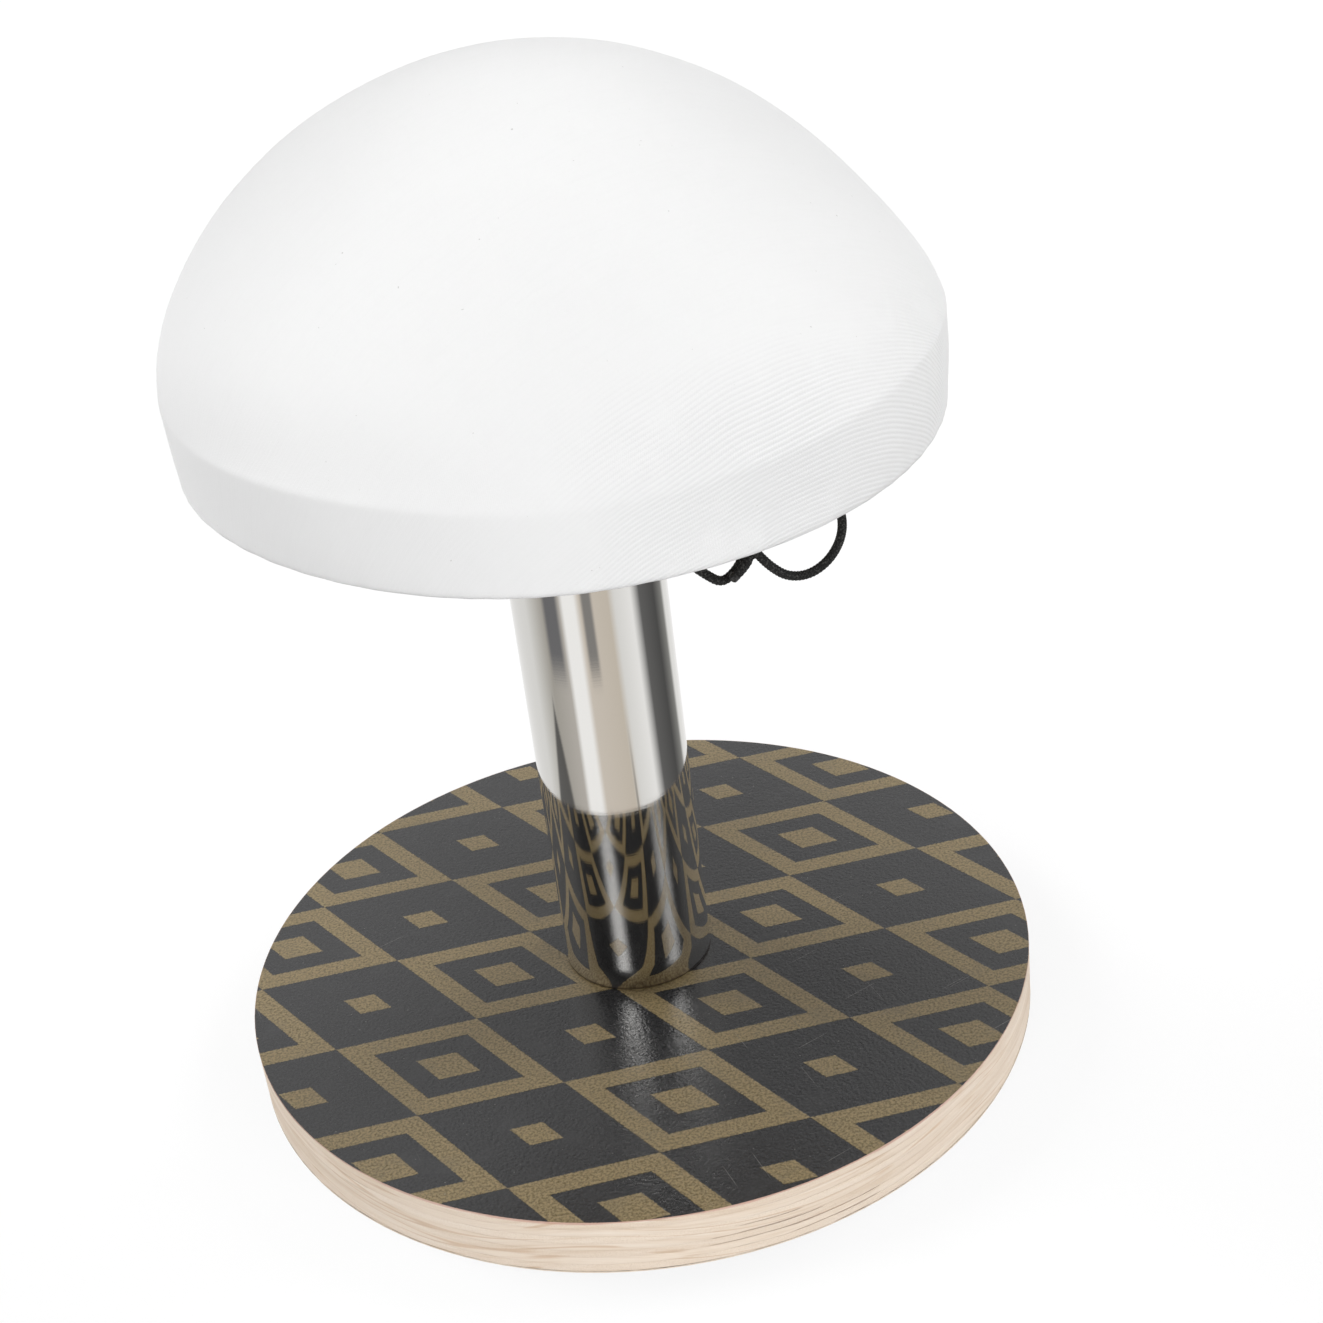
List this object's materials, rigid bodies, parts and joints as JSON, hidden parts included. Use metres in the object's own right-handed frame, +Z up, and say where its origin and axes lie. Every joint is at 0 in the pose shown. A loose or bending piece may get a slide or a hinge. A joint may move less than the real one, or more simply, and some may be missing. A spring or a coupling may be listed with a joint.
{
  "type": "ironing stool",
  "caption": "Table-top ironing stool: a padded dome in a drawn white cotton cover, on a polished steel post over a round film-faced plywood base.",
  "frame": {"origin": "centre of the base's underside, on the surface that the stool stands on", "axes": "+Z up along the post; -Y towards the front, where the drawstring's bow hangs a little to the right; +X to the right"},
  "size_m": [0.203, 0.203, 0.2508],
  "materials": {
    "plywood": "sawn and sanded edge with visible plies",
    "film": "satin printed resin film",
    "polished_steel": "mirror polished",
    "plug_wood": "turned",
    "zinc_steel": "zinc plated",
    "padding": "firm wadding",
    "felt": "needled felt",
    "cotton": "white ribbed cotton",
    "cord": "black braided cord"
  },
  "bodies": {
    "root": {"base_board": "plywood", "base_top_film": "film", "base_bottom_film": "film", "post_tube": "polished_steel", "lower_spigot": "plug_wood", "upper_spigot": "plug_wood", "lower_spigot_screw_1": "zinc_steel", "lower_spigot_screw_2": "zinc_steel", "upper_spigot_screw_1": "zinc_steel", "upper_spigot_screw_2": "zinc_steel", "tie_rod": "zinc_steel", "lower_nut": "zinc_steel", "lower_washer": "zinc_steel", "upper_nut": "zinc_steel", "upper_washer": "zinc_steel", "head_board": "plywood", "dome_core": "padding", "felt_pad": "felt", "cover": "cotton", "hem_casing": "cotton", "drawstring": "cord", "bow_knot": "cord", "bow_right_loop": "cord", "bow_left_loop": "cord", "bow_right_tail": "cord", "bow_left_tail": "cord"}
  },
  "joints": []
}
